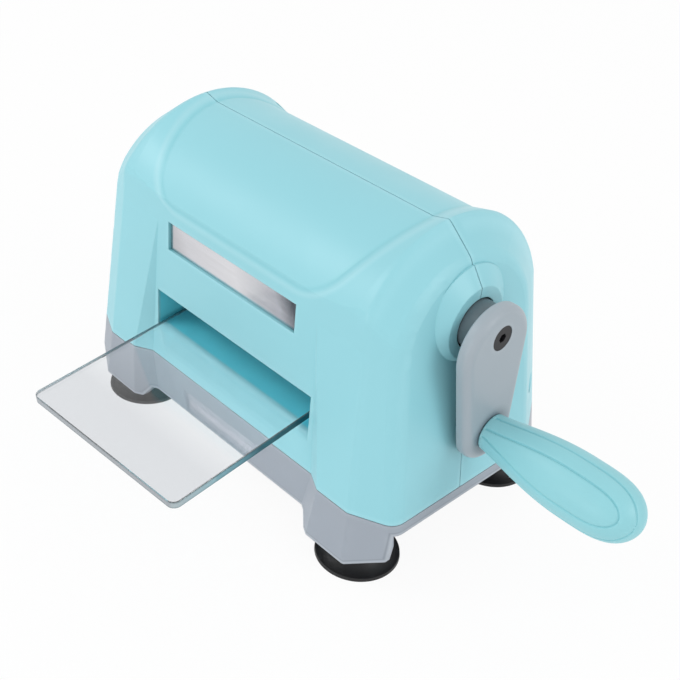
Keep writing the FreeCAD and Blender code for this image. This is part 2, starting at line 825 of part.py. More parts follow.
def make_frames():
    plate = frame_plate(frame_inner_x, frame_outer_x, left_frame_top_z, frame_half_y)
    left = joined(plate, [frame_foot()]).cut(side_frame_cuts(tie_rod_places()))
    save("left_side_frame", mirrored(left))

    plate = frame_plate(frame_inner_x, frame_outer_x, right_frame_top_z, frame_top_half)
    places = tie_rod_places() + standoff_places()
    right = joined(plate, [frame_foot()]).cut(side_frame_cuts(places))
    seat = crank_shaft_r + bushing_wall + seat_gap
    right = right.cut(rod_x(seat, frame_inner_x - 1.0, frame_outer_x + 1.0, 0, crank_z))
    save("right_side_frame", right)

    low_z = standoff_low_z - 6.0
    outline = [(-frame_half_y, low_z), (frame_half_y, low_z), (frame_half_y, upper_roller_z),
               (frame_top_half, right_frame_top_z - 6.0), (frame_top_half - 6.0, right_frame_top_z),
               (6.0 - frame_top_half, right_frame_top_z), (-frame_top_half, right_frame_top_z - 6.0),
               (-frame_half_y, upper_roller_z)]
    outer = prism_x(outline, outer_frame_x, outer_frame_end_x)
    x0, x1 = outer_frame_x - 1.0, outer_frame_end_x + 1.0
    cuts = [rod_x(bolt_shank_r + screw_gap, x0, x1, y, z) for y, z in standoff_places()]
    cuts.append(rod_x(seat, x0, x1, 0, crank_z))
    save("outer_bearing_frame", outer.cut(cuts))

    threads = bolt_shank_r + screw_gap
    rods = []
    for y, z in tie_rod_places():
        rod = rod_x(tie_rod_r, -frame_inner_x, frame_inner_x, y, z)
        rods.append(rod.cut(both_sides(rod_x(threads, frame_inner_x - bolt_length,
                                             frame_inner_x + 1.0, y, z))))
    save("frame_tie_rods", Part.makeCompound(rods))

    stands = []
    for y, z in standoff_places():
        stands.append(rod_x(tie_rod_r, frame_outer_x, outer_frame_x, y, z).cut(
            rod_x(threads, frame_outer_x - 1.0, outer_frame_x + 1.0, y, z)))
    save("bearing_frame_standoffs", Part.makeCompound(stands))


# Bushings

def bushing(shaft_r, x0, x1, z, flange_x):
    """Flanged plain bearing along X; the flange starts at flange_x and grows away from the wall."""
    body = rod_x(shaft_r + bushing_wall, x0, x1, 0, z)
    flange = rod_x(shaft_r + bushing_wall + flange_rise, flange_x, flange_x + flange_thickness, 0, z)
    return joined(body, [flange]).cut(rod_x(shaft_r + running_gap, x0 - 5.0, x1 + 5.0, 0, z))


def make_bushings():
    flange_x = frame_inner_x - flange_thickness
    for row, z in (("upper", upper_roller_z), ("lower", lower_roller_z)):
        right = bushing(roller_shaft_r, frame_inner_x, frame_outer_x, z, flange_x)
        save("right_" + row + "_roller_bushing", right)
        save("left_" + row + "_roller_bushing", mirrored(right))
    save("inner_crank_bushing", bushing(crank_shaft_r, frame_inner_x, frame_outer_x, crank_z,
                                        frame_outer_x))
    save("outer_crank_bushing", bushing(crank_shaft_r, outer_frame_x, outer_frame_end_x, crank_z,
                                        outer_frame_x - flange_thickness))


# Gears

def involute(angle):
    return math.tan(angle) - angle


def gear(teeth, x0, x1, z, tooth_bearing, bore_r):
    """Spur gear about an axis along X, with one tooth centred on tooth_bearing."""
    pitch_r = 0.5 * gear_module * teeth
    base_r = pitch_r * cosine(pressure_angle)
    tip_r = pitch_r + tip_factor * gear_module
    root_r = pitch_r - root_factor * gear_module
    start_r = max(base_r, root_r)
    half = (0.5 * math.pi * gear_module - 0.5 * backlash) / (2 * pitch_r)
    half += involute(math.radians(pressure_angle))
    steps = 5

    def at(r, angle):
        return Vector(x0, r * math.cos(angle), z + r * math.sin(angle))

    def flank(centre, side):
        points = []
        for k in range(steps + 1):
            r = start_r + (tip_r - start_r) * k / steps
            spread = half - involute(math.acos(min(1.0, base_r / r)))
            points.append(at(r, centre + side * spread))
        return points

    edges = []
    pitch = 2 * math.pi / teeth
    first_foot = None
    last_foot = None
    for n in range(teeth):
        centre = math.radians(tooth_bearing) + n * pitch
        low, high = flank(centre, -1), flank(centre, 1)
        foot_angle = half - involute(math.acos(min(1.0, base_r / start_r)))
        feet = [at(root_r, centre - foot_angle), at(root_r, centre + foot_angle)]
        if first_foot is None:
            first_foot = feet[0]
        else:
            valley = at(root_r, centre - 0.5 * pitch)
            edges.append(Part.Arc(last_foot, valley, feet[0]).toShape())
        if start_r > root_r:
            edges.append(Part.makeLine(feet[0], low[0]))
        edges.append(spline(low))
        edges.append(Part.Arc(low[-1], at(tip_r, centre), high[-1]).toShape())
        edges.append(spline(list(reversed(high))))
        if start_r > root_r:
            edges.append(Part.makeLine(high[0], feet[1]))
        last_foot = feet[1]
    end = math.radians(tooth_bearing) + (teeth - 0.5) * pitch
    edges.append(Part.Arc(last_foot, at(root_r, end), first_foot).toShape())
    blank = Part.Face(Part.Wire(edges)).extrude(Vector(x1 - x0, 0, 0))
    return blank.cut(rod_x(bore_r, x0 - 1.0, x1 + 1.0, 0, z))


def spline(points):
    curve = Part.BSplineCurve()
    curve.interpolate(points)
    return curve.toShape()


def lightening_holes(teeth, x0, x1, z, count):
    web_r = 0.5 * gear_module * teeth
    ring = 0.5 * (web_r + gear_hub_r) - 0.4
    holes = []
    for n in range(count):
        turn = 360.0 * n / count
        holes.append(rod_x(0.3 * (web_r - gear_hub_r), x0 - 1.0, x1 + 1.0, ring * cosine(turn),
                           z + ring * sine(turn)))
    return holes


def make_gears():
    bore = roller_shaft_r + seat_gap
    hub_start = frame_outer_x + 0.3
    half_step = 180.0 / sync_teeth
    for row, z, tooth in (("upper", upper_roller_z, -90.0), ("lower", lower_roller_z, 90.0 + half_step)):
        wheel = gear(sync_teeth, sync_x, sync_x + sync_width, z, tooth, bore)
        wheel = wheel.cut(lightening_holes(sync_teeth, sync_x, sync_x + sync_width, z, 5))
        hub = rod_x(gear_hub_r, hub_start, sync_x, 0, z).cut(rod_x(bore, hub_start, sync_x, 0, z))
        save(row + "_roller_gear", joined(wheel, [hub]))

    end_x = drive_x + drive_width
    wheel = gear(drive_teeth, drive_x, end_x, upper_roller_z, 90.0, bore)
    wheel = wheel.cut(lightening_holes(drive_teeth, drive_x, end_x, upper_roller_z, 6))
    hub = rod_x(gear_hub_r, sync_x + sync_width, drive_x, 0, upper_roller_z)
    hub = hub.cut(rod_x(bore, sync_x + sync_width, drive_x, 0, upper_roller_z))
    save("crank_driven_gear", joined(wheel, [hub]))

    pinion_start = drive_x - 0.6
    tooth = -90.0 + 180.0 / pinion_teeth
    save("crank_pinion", gear(pinion_teeth, pinion_start, drive_x + drive_width + 0.6, crank_z,
                              tooth, crank_shaft_r + seat_gap))


# Rollers and shafts

def shaft(r, x0, x1, z, grooves):
    """Round shaft with a groove for each retaining ring."""
    body = rod_x(r, x0, x1, 0, z)
    for x in grooves:
        ring = rod_x(r + 1.0, x, x + ring_thickness, 0, z)
        body = body.cut(ring.cut(rod_x(r - ring_groove, x, x + ring_thickness, 0, z)))
    return body


def retaining_ring(r, x, z):
    """Open spring ring that snaps into a shaft's groove."""
    inner = r - ring_groove + seat_gap
    x0, x1 = x + 0.02, x + ring_thickness - 0.02
    ring = rod_x(r + ring_rise, x0, x1, 0, z).cut(rod_x(inner, x0, x1, 0, z))
    gap = 0.8 * inner
    return ring.cut(box(x0 - 1.0, x1 + 1.0, -gap, gap, z - r - ring_rise - 1.0, z))


def make_rollers():
    left_ring = -frame_outer_x - 0.3 - ring_thickness
    ends = {"upper": drive_x + drive_width, "lower": sync_x + sync_width}
    for row, z in (("upper", upper_roller_z), ("lower", lower_roller_z)):
        right_ring = ends[row] + 0.3
        body = shaft(roller_shaft_r, left_ring - ring_land, right_ring + ring_thickness + ring_land,
                     z, (left_ring, right_ring))
        save(row + "_roller_shaft", body)
        barrel = rod_x(roller_r, -roller_half, roller_half, 0, z)
        rims = edges_where(barrel, lambda e: abs(abs(e.CenterOfMass.x) - roller_half) < 0.01)
        barrel = barrel.makeChamfer(roller_chamfer, rims)
        save(row + "_roller", barrel.cut(rod_x(roller_shaft_r + seat_gap, -roller_half - 1.0,
                                               roller_half + 1.0, 0, z)))
        rings = [retaining_ring(roller_shaft_r, left_ring, z),
                 retaining_ring(roller_shaft_r, right_ring, z)]
        save(row + "_roller_rings", Part.makeCompound(rings))


# Crank

def crank_tip():
    return crank_reach * sine(crank_rest), crank_z - crank_reach * cosine(crank_rest)


def hexagon(r, x0, x1, z):
    points = [(r * cosine(60 * n), z + r * sine(60 * n)) for n in range(6)]
    return prism_x(points, x0, x1)


def arm_blank():
    """Tapered arm between a large round hub and a smaller round end."""
    head, tip = (0, crank_z - arm_head_drop), crank_tip()
    along = bearing(head, tip)
    reach = math.hypot(tip[0] - head[0], tip[1] - head[1])
    lean = math.degrees(math.acos((arm_head_r - arm_tip_r) / reach))
    x = arm_inner_x

    def at(centre, r, turn):
        y, z = on_circle(centre, r, turn)
        return Vector(x, y, z)

    edges = [
        Part.Arc(at(head, arm_head_r, along + lean), at(head, arm_head_r, along + 180),
                 at(head, arm_head_r, along - lean)).toShape(),
        Part.makeLine(at(head, arm_head_r, along - lean), at(tip, arm_tip_r, along - lean)),
        Part.Arc(at(tip, arm_tip_r, along - lean), at(tip, arm_tip_r, along),
                 at(tip, arm_tip_r, along + lean)).toShape(),
        Part.makeLine(at(tip, arm_tip_r, along + lean), at(head, arm_head_r, along + lean)),
    ]
    arm = Part.Face(Part.Wire(edges)).extrude(Vector(arm_thickness, 0, 0))
    rim = edges_where(arm, lambda e: abs(e.BoundBox.XMin - arm_outer_x) < 0.01)
    arm = arm.makeFillet(arm_edge_r, rim)
    back = edges_where(arm, lambda e: abs(e.BoundBox.XMax - arm_inner_x) < 0.01)
    return arm.makeFillet(arm_back_edge_r, back)


def make_crank():
    tip_y, tip_z = crank_tip()
    collar_start = boss_face_x - collar_depth
    socket_end = arm_outer_x - hub_screw_head_height - 0.8
    collar = rod_x(collar_r, collar_start, arm_inner_x, 0, crank_z)
    cuts = [
        rod_x(crank_shaft_r + seat_gap, collar_start - 1.0, boss_face_x, 0, crank_z),
        hexagon(crank_shaft_r + screw_gap, boss_face_x - 0.5, socket_end, crank_z),
        rod_x(hub_screw_r + screw_gap, socket_end - 1.0, arm_outer_x, 0, crank_z),
        rod_x(hub_screw_head_r + screw_gap, arm_outer_x - hub_screw_head_height,
              arm_outer_x + 1.0, 0, crank_z),
        rod_x(spindle_r + seat_gap, arm_inner_x - 1.0, arm_outer_x + 1.0, tip_y, tip_z),
    ]
    save("crank_arm", joined(arm_blank(), [collar]).cut(cuts))

    hex_start = boss_face_x
    shaft_end = socket_end - 0.3
    ring_x = outer_frame_end_x + 0.3
    body = shaft(crank_shaft_r, crank_shaft_start_x, shaft_end, crank_z, (ring_x,))
    blank = box(hex_start, shaft_end + 1.0, -20, 20, crank_z - 20, crank_z + 20)
    body = body.cut(blank.cut(hexagon(crank_shaft_r, hex_start, shaft_end + 1.0, crank_z)))
    screw_end = arm_outer_x - hub_screw_head_height - hub_screw_length
    body = body.cut(rod_x(hub_screw_r + screw_gap, screw_end - 1.0, shaft_end + 1.0, 0, crank_z))
    save("crank_shaft", body)
    save("crank_shaft_ring", retaining_ring(crank_shaft_r, ring_x, crank_z))

    head_x = arm_outer_x - hub_screw_head_height + 0.05
    screw = joined(rod_x(hub_screw_head_r, head_x, arm_outer_x - 0.1, 0, crank_z),
                   [rod_x(hub_screw_r, screw_end, head_x, 0, crank_z)])
    screw = screw.cut(hexagon(hub_screw_hex_r, arm_outer_x - 1.6, arm_outer_x + 1.0, crank_z))
    save("crank_hub_screw", screw)


def make_grip():
    tip_y, tip_z = crank_tip()
    start = arm_outer_x + grip_gap
    reach = grip_length - grip_max_at

    def radius(s):
        if s < grip_max_at:
            return grip_root_r + (grip_max_r - grip_root_r) * sine(90.0 * s / grip_max_at) ** 1.2
        return grip_max_r * max(0.0, 1.0 - ((s - grip_max_at) / reach) ** grip_fullness) ** 0.55

    points = [Vector(radius(s), 0, s) for s in
              [grip_max_at * k / 6.0 for k in range(7)]]
    for k in range(1, 9):
        s = grip_max_at + reach * math.sin(0.5 * math.pi * k / 8.0)
        points.append(Vector(radius(s), 0, s))
    points[0] = Vector(grip_root_r, 0, 0)
    side = spline(points)
    edges = [Part.makeLine(Vector(0, 0, 0), points[0]), side,
             Part.makeLine(points[-1], Vector(0, 0, 0))]
    body = Part.Face(Part.Wire(edges)).revolve(Vector(0, 0, 0), Vector(0, 0, 1), 360)
    body.Placement = Placement(Vector(start, tip_y, tip_z), Rotation(Vector(0, 0, 1), Vector(1, 0, 0)))
    neck_x = start + spindle_neck_at
    bore_end = start + spindle_depth + 1.0
    bore = rod_x(spindle_r + running_gap, start - 1.0, bore_end, tip_y, tip_z)
    keep = 0.2
    snap = rod_x(spindle_r + 1.0, neck_x + keep, neck_x + spindle_neck_length - keep, tip_y, tip_z)
    snap = snap.cut(rod_x(spindle_neck_r + running_gap, neck_x, neck_x + spindle_neck_length,
                          tip_y, tip_z))
    save("grip", body.cut(bore.cut(snap)))

    rod = rod_x(spindle_r, arm_inner_x + 0.4, start + spindle_depth, tip_y, tip_z)
    neck = rod_x(spindle_r + 1.0, neck_x, neck_x + spindle_neck_length, tip_y, tip_z)
    neck = neck.cut(rod_x(spindle_neck_r, neck_x, neck_x + spindle_neck_length, tip_y, tip_z))
    save("grip_spindle", rod.cut(neck))


# Cutting plate

def plate_turn():
    return Rotation(Vector(1, 0, 0), plate_tilt) * Rotation(Vector(0, 0, 1), plate_yaw)


def make_cutting_plate():
    half = 0.5 * plate_width
    plate = box(-half, half, 0, plate_length, 0, plate_thickness)
    corners = edges_where(plate, lambda e: e.BoundBox.ZLength > 0.9 * plate_thickness)
    plate = plate.makeFillet(plate_corner_r, corners)
    rims = edges_where(plate, lambda e: e.BoundBox.ZLength < 0.1)
    plate = plate.makeFillet(plate_edge_r, rims)
    y = plate_front_y + plate_thickness * sine(plate_tilt)
    z = plate_under_z + y * tangent(plate_tilt)
    plate.Placement = Placement(Vector(plate_front_x, y, z), plate_turn())
    save("cutting_plate", plate)


# Fasteners

def screw(head_r, head_height, shank_r, length, seat, away):
    """Pan head screw: seat is the underside of the head, the shank runs against away."""
    away = Vector(*away)
    seat = Vector(*seat)
    head = Part.makeCylinder(head_r, head_height, seat, away)
    shank = Part.makeCylinder(shank_r, length, seat - away * length, away)
    slot_r = 0.45 * head_r
    drive = Part.makeCylinder(slot_r, 0.6 * head_height, seat + away * (0.5 * head_height), away)
    return joined(head, [shank]).cut(drive)


def make_fasteners():
    size = (screw_head_r, screw_head_height, screw_shank_r)
    seat_y = shell_screw_seat_y + 0.02
    save("shell_screws", Part.makeCompound(
        [screw(*size, shell_screw_length, (x, seat_y, z), (0, 1, 0))
         for x, z in shell_screw_places()]))
    save("base_screws", Part.makeCompound(
        [screw(*size, screw_length, (x, y, end_arch_z - 0.02), (0, 0, -1))
         for x, y in base_screw_places()]))
    size = (bolt_head_r, bolt_head_height, bolt_shank_r, bolt_length)
    bolts = []
    for y, z in tie_rod_places():
        for side in (-1, 1):
            bolts.append(screw(*size, (side * (frame_outer_x + 0.02), y, z), (side, 0, 0)))
    for y, z in standoff_places():
        bolts.append(screw(*size, (frame_inner_x - 0.02, y, z), (-1, 0, 0)))
        bolts.append(screw(*size, (outer_frame_end_x + 0.02, y, z), (1, 0, 0)))
    save("frame_bolts", Part.makeCompound(bolts))
    save("frame_foot_bolts", Part.makeCompound(
        [screw(bolt_head_r, bolt_head_height, bolt_shank_r, floor_bolt_length,
               (x, y, arch_z - 0.02), (0, 0, -1)) for x, y in frame_foot_screw_places()]))


whole_form = rounded_form()
make_shells(whole_form)
make_label_plate()
make_base(whole_form)
make_feet()
make_frames()
make_bushings()
make_gears()
make_rollers()
make_crank()
make_grip()
make_cutting_plate()
make_fasteners()
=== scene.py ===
import bpy
import math
import numpy as np
from mathutils import Matrix, Vector


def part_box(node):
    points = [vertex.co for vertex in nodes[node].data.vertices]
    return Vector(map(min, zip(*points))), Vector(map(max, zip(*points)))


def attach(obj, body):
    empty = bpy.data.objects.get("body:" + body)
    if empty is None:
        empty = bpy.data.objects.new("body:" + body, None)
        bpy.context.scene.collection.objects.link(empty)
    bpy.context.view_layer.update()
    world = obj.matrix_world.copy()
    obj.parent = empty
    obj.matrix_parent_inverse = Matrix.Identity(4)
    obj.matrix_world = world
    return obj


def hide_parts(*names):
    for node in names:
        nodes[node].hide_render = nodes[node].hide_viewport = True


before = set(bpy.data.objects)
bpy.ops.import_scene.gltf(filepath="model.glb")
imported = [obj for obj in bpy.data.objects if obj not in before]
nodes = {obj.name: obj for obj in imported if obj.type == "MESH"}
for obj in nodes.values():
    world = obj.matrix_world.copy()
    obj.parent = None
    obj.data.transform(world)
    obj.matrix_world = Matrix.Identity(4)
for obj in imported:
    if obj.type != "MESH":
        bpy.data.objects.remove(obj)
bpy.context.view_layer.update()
MM = 0.001


# Colours, as linear red, green and blue

TURQUOISE = (0.3, 0.655, 0.73)
TURQUOISE_PAINTED_SHADE = (0.2, 0.56, 0.63)
TURQUOISE_PAINTED_HIGHLIGHT = (0.37, 0.70, 0.77)
TURQUOISE_PAINTED_BOUNCE = (0.15, 0.78, 0.93)
GRIP_TURQUOISE = (0.285, 0.635, 0.695)
GRIP_PAINTED_SHADE = (0.2, 0.56, 0.62)
BASE_GREY = (0.335, 0.375, 0.43)
BASE_PAINTED_SHADE = (0.24, 0.28, 0.33)
BEAD_PAINTED_HIGHLIGHT = (0.47, 0.51, 0.56)
BEAD_PAINTED_SHADE = (0.20, 0.23, 0.27)
CRANK_GREY = (0.36, 0.415, 0.46)
CRANK_PAINTED_SHADE = (0.2, 0.25, 0.29)
CRANK_COLLAR_SHADE = (0.11, 0.15, 0.17)
DARK_STEEL = (0.012, 0.012, 0.014)
RUBBER_CLEAN = (0.006, 0.006, 0.007)
RUBBER_DUSTY = (0.014, 0.014, 0.015)
LABEL_METAL = (0.86, 0.86, 0.88)
ROLLER_STEEL = (0.62, 0.63, 0.65)
FRAME_STEEL = (0.5, 0.51, 0.53)
GEAR_STEEL = (0.55, 0.55, 0.57)
BRONZE = (0.62, 0.42, 0.2)
PLATE_CLEAR = (0.98, 0.99, 1.0)
PLATE_FRONT_SHADE = (0.75, 0.76, 0.785)
PLATE_EDGE_PAINTED_SHADE = (0.05, 0.12, 0.145)
PLATE_DEPTH = (0.3, 0.75, 0.8, 1.0)
FLOOR_WHITE = (0.93, 0.93, 0.93, 1.0)

# painted light on the clear plate's cut edges by millimetres along it: a painted reflection of
# the housing's teal that turns to painted shade deeper inside; and the ends of that scale
EDGE_PAINTED_LIGHT = [(-86.6, (0.33, 0.345, 0.38)), (-86.0, (0.48, 0.56, 0.59)),
                (-68.6, (0.305, 0.515, 0.578)), (-58.7, (0.17, 0.36, 0.42)),
                (-48.8, (0.04, 0.14, 0.175)), (-38.9, (0.015, 0.085, 0.11)),
                (40.0, (0.04, 0.14, 0.17))]
EDGE_PAINTED_LIGHT_ENDS = (-88.0, 42.0)
# the name plate's painted reflections by millimetres across it, and the ends of that scale
PAINTED_REFLECTION_COLOURS = [(14.0, (0.60, 0.60, 0.61)), (26.0, (0.80, 0.80, 0.82)),
                 (52.0, (0.90, 0.90, 0.91)), (74.0, (0.66, 0.67, 0.70)),
                 (83.0, (0.13, 0.15, 0.17))]
PAINTED_REFLECTION_ENDS = (12.0, 90.0)


# Shapes, in millimetres and degrees

# the clear plate's upward direction, its top face's height that way and its line of travel
PLATE_NORMAL = (0.0, -0.1045, 0.9945)
PLATE_TOP = 50.8
PLATE_RUN = (-0.043619, 0.993575, 0.104429)
PLATE_CORNER, PLATE_BROKEN_EDGE = 3.0, 0.25
# painted shade lines along its cut edges: how far below its top, half width and strength
PLATE_SHADE_LINES = ((0.1, 0.8, 0.8), (2.9, 0.8, 0.7))
# the sheet's tighter corners stay within the solid's box when it is this much shorter
PLATE_SHORTER = 0.13
# the sunk crown: half width at its top, lean of its sides, lower edge, radius of its corners
SUNK_HALF, SUNK_TOP, SUNK_LEAN, SUNK_LOW, SUNK_CORNER = 53.3, 122.45, 29.0, 98.9, 8.0
# painted shade and painted highlight stripes that follow its outline: how far outside it, half
# width and strength
SUNK_SHADE_LINE, SUNK_HIGHLIGHT_RIDGE = (0.2, 1.5, 0.45), (2.6, 1.7, 0.8)
# the throat's painted bounce light: where it starts on the ledge and on the walls, and where it
# ends
THROAT_LEDGE_START, THROAT_WALL_START = -33.4, -35.5
THROAT_LEDGE, THROAT_FLOOR, THROAT_ROOF, THROAT_SIDE = 45.0, 44.0, 60.0, 45.5
# the base's lower edge: feet of the legs, tops of the arches and where its end walls begin,
# then the slopes from (along, up) to (along, up)
LEG_FOOT, ARCH_TOP, END_ARCH_TOP, END_WALL = 8.1, 12.8, 25.2, 76.3
ARCH_SLOPE = ((44.0, ARCH_TOP), (47.2, LEG_FOOT))
LEG_SLOPE = ((69.0, LEG_FOOT), (81.4, 14.4))
END_ARCH_SLOPE = ((32.0, END_ARCH_TOP), (34.0, LEG_FOOT))
# painted highlight and painted shade stripes that follow that edge: how far inside it, half
# width and strength
BEAD_HIGHLIGHT_STRIPE, BEAD_PAINTED_SHADE_STRIPE = (0.45, 0.55, 0.8), (1.25, 0.35, 0.6)
# the painted shade on the crank arm's collar reaches out to here
COLLAR_END = 82.0
# the grip: radius at its root and where it is widest, that place, and which way its face
# looks; then how far inside its outline the grooves run, their depth and their width
GRIP_ROOT, GRIP_WIDEST, GRIP_WIDEST_AT, GRIP_FACING = 6.6, 11.2, 34.5, 152.0
GROOVE_INSETS = (1.1, 5.2)
GROOVE_DEPTH, GROOVE_WIDTH = 0.5, 0.34


# Node trees

class Shader:
    """A material's node tree with short ways to add and join nodes."""

    def __init__(self, name):
        self.material = bpy.data.materials.new(name)
        self.material.use_nodes = True
        self.tree = self.material.node_tree
        self.bsdf = self.tree.nodes["Principled BSDF"]
        self.output = self.tree.nodes["Material Output"]

    def node(self, kind, **settings):
        made = self.tree.nodes.new(kind)
        for key, value in settings.items():
            setattr(made, key, value)
        return made

    def join(self, source, target):
        self.tree.links.new(source, target)

    def feed(self, socket, value):
        """A number, a colour or another node's output put into a socket."""
        if isinstance(value, tuple):
            socket.default_value = (*value, 1.0)
        elif isinstance(value, (int, float)):
            socket.default_value = value
        else:
            self.join(value, socket)

    def colour(self):
        """What the base colour comes from so far."""
        return self.bsdf.inputs["Base Color"].links[0].from_socket

    def paint(self, colour):
        self.join(colour, self.bsdf.inputs["Base Color"])

    def place(self):
        """Object coordinates in metres: the same frame as the machine's."""
        return self.node("ShaderNodeTexCoord").outputs["Object"]

    def axes(self):
        """The three coordinates of the place."""
        split = self.node("ShaderNodeSeparateXYZ")
        self.join(self.place(), split.inputs["Vector"])
        return [split.outputs[axis] for axis in "XYZ"]

    def along(self, vector, direction):
        """How far a vector goes in a direction."""
        made = self.node("ShaderNodeVectorMath", operation="DOT_PRODUCT")
        self.join(vector, made.inputs[0])
        made.inputs[1].default_value = direction
        return made.outputs["Value"]

    def noise(self, scale, detail=2.0, roughness=0.5, stretch=None):
        made = self.node("ShaderNodeTexNoise")
        made.inputs["Scale"].default_value = scale
        made.inputs["Detail"].default_value = detail
        made.inputs["Roughness"].default_value = roughness
        vector = self.place()
        if stretch:
            mapping = self.node("ShaderNodeMapping")
            mapping.inputs["Scale"].default_value = stretch
            self.join(vector, mapping.inputs["Vector"])
            vector = mapping.outputs["Vector"]
        self.join(vector, made.inputs["Vector"])
        return made.outputs["Fac"]

    def math(self, operation, a, b=None):
        made = self.node("ShaderNodeMath", operation=operation)
        self.feed(made.inputs[0], a)
        if b is not None:
            self.feed(made.inputs[1], b)
        return made.outputs[0]

    def times(self, first, *others):
        for other in others:
            first = self.math("MULTIPLY", first, other)
        return first

    def ramp(self, source, low, high, from_low=0.0, from_high=1.0):
        """A value mapped from one range to another."""
        made = self.node("ShaderNodeMapRange", clamp=True)
        self.join(source, made.inputs["Value"])
        for name, value in (("From Min", from_low), ("From Max", from_high),
                            ("To Min", low), ("To Max", high)):
            made.inputs[name].default_value = value
        return made.outputs["Result"]

    def rise(self, source, start, end):
        """From 0 to 1 between two lengths in millimetres."""
        return self.ramp(source, 0.0, 1.0, start * MM, end * MM)

    def fall(self, source, start, end):
        """From 1 to 0 between two lengths in millimetres."""
        return self.ramp(source, 1.0, 0.0, start * MM, end * MM)

    def bell(self, distance, centre, width, strength):
        """A soft stripe in millimetres along a line, from the distance to it in metres."""
        off = self.math("ABSOLUTE", self.math("SUBTRACT", distance, centre * MM))
        return self.times(self.fall(off, 0.0, width), strength)

    def blend(self, factor, first, second, kind="MIX"):
        made = self.node("ShaderNodeMix", data_type="RGBA", blend_type=kind)
        self.feed(made.inputs["Factor"], factor)
        self.feed(made.inputs[6], first)
        self.feed(made.inputs[7], second)
        return made.outputs[2]

    def stops(self, source, colours, ends):
        """A colour by a length, from (millimetres, colour) pairs on a scale with two ends."""
        low, high = ends
        made = self.node("ShaderNodeValToRGB")
        elements = made.color_ramp.elements
        while len(elements) < len(colours):
            elements.new(0.5)
        # the elements sort themselves by position, so the colours come after
        for element, (value, _) in zip(elements, colours):
            element.position = (value - low) / (high - low)
        for element, (_, colour) in zip(elements, colours):
            element.color = (*colour, 1.0)
        self.join(self.rise(source, low, high), made.inputs["Fac"])
        return made.outputs["Color"]

    def bump(self, height, strength, distance, normal):
        made = self.node("ShaderNodeBump")
        made.inputs["Strength"].default_value = strength
        made.inputs["Distance"].default_value = distance
        self.join(height, made.inputs["Height"])
        self.join(normal, made.inputs["Normal"])
        return made.outputs["Normal"]

    def open_share(self, distance, inside, alone):
        """How open a point is within a short distance, above or below the surface."""
        made = self.node("ShaderNodeAmbientOcclusion", samples=8, inside=inside,
                         only_local=alone)
        made.inputs["Distance"].default_value = distance
        return made.outputs["AO"]

    def rounding(self, radius):
        made = self.node("ShaderNodeBevel", samples=6)
        made.inputs["Radius"].default_value = radius
        return made.outputs["Normal"]

    def surface(self, factor, other):
        """The material's surface mixed with another one by a factor."""
        mix = self.node("ShaderNodeMixShader")
        self.join(factor, mix.inputs["Fac"])
        self.join(self.bsdf.outputs["BSDF"], mix.inputs[1])
        self.join(other, mix.inputs[2])
        self.join(mix.outputs["Shader"], self.output.inputs["Surface"])


# Plastic, metal and rubber

def moulded(name, colour, roughness, edge=0.0005, specular=0.5, shade_colour=None, alone=True):
    """Moulded plastic: faint colour drift, fine spark eroded grain, rounded edges, and painted
    shade in the hollows with a painted highlight on the outer edges."""
    tint, paler = 0.03, 0.055
    shade_reach, highlight_reach = 0.004, 0.0025
    drift_scale, gloss_scale, coarse_scale, fine_scale = 14.0, 60.0, 1400.0, 5200.0
    grain_strength, grain_height = 0.05, 0.0002
    s = Shader(name)
    dark = tuple(c * (1.0 - tint) for c in colour)
    light = tuple(min(1.0, c * (1.0 + tint)) for c in colour)
    plain = s.blend(s.noise(drift_scale, 3.0), dark, light)
    # painted shade in the hollows and between parts, and a painted highlight on the outer edges,
    # both from occlusion
    if shade_colour:
        edge_highlight = tuple(min(1.0, c + paler) for c in colour)
        inside = s.ramp(s.open_share(shade_reach, False, alone), 0.0, 1.0, 0.55, 0.97)
        outside = s.ramp(s.open_share(highlight_reach, True, True), 1.0, 0.0, 0.4, 0.9)
        plain = s.blend(outside, plain, edge_highlight)
        plain = s.blend(inside, shade_colour, plain)
    s.paint(plain)
    gloss = s.noise(gloss_scale, 4.0)
    s.join(s.ramp(gloss, roughness - 0.04, roughness + 0.05, 0.3, 0.7),
           s.bsdf.inputs["Roughness"])
    s.bsdf.inputs["Specular IOR Level"].default_value = specular
    grain = s.math("ADD", s.times(s.noise(fine_scale), 0.6), s.times(s.noise(coarse_scale), 0.4))
    s.join(s.bump(grain, grain_strength, grain_height, s.rounding(edge)),
           s.bsdf.inputs["Normal"])
    return s


def metal(name, colour, roughness, stretch, scale=900.0, edge=0.0003):
    """Machined metal with fine marks along one direction."""
    darker, mark_strength, mark_depth = 0.86, 0.08, 0.0001
    s = Shader(name)
    marks = s.noise(scale, 3.0, 0.6, stretch)
    dark = tuple(c * darker for c in colour)
    s.paint(s.blend(marks, dark, colour))
    s.bsdf.inputs["Metallic"].default_value = 1.0
    s.join(s.ramp(marks, roughness - 0.06, roughness + 0.08, 0.25, 0.75),
           s.bsdf.inputs["Roughness"])
    s.join(s.bump(marks, mark_strength, mark_depth, s.rounding(edge)), s.bsdf.inputs["Normal"])
    return s


def rubber():
    """Black rubber with a little dust and a fine skin."""
    dust_scale, skin_scale, edge = 180.0, 2600.0, 0.0004
    s = Shader("foot_rubber")
    dust = s.noise(dust_scale, 4.0)
    s.paint(s.blend(dust, RUBBER_CLEAN, RUBBER_DUSTY))
    s.join(s.ramp(dust, 0.44, 0.56, 0.3, 0.7), s.bsdf.inputs["Roughness"])
    s.bsdf.inputs["Specular IOR Level"].default_value = 0.4
    s.join(s.bump(s.noise(skin_scale, 3.0), 0.12, 0.0002, s.rounding(edge)),
           s.bsdf.inputs["Normal"])
    return s
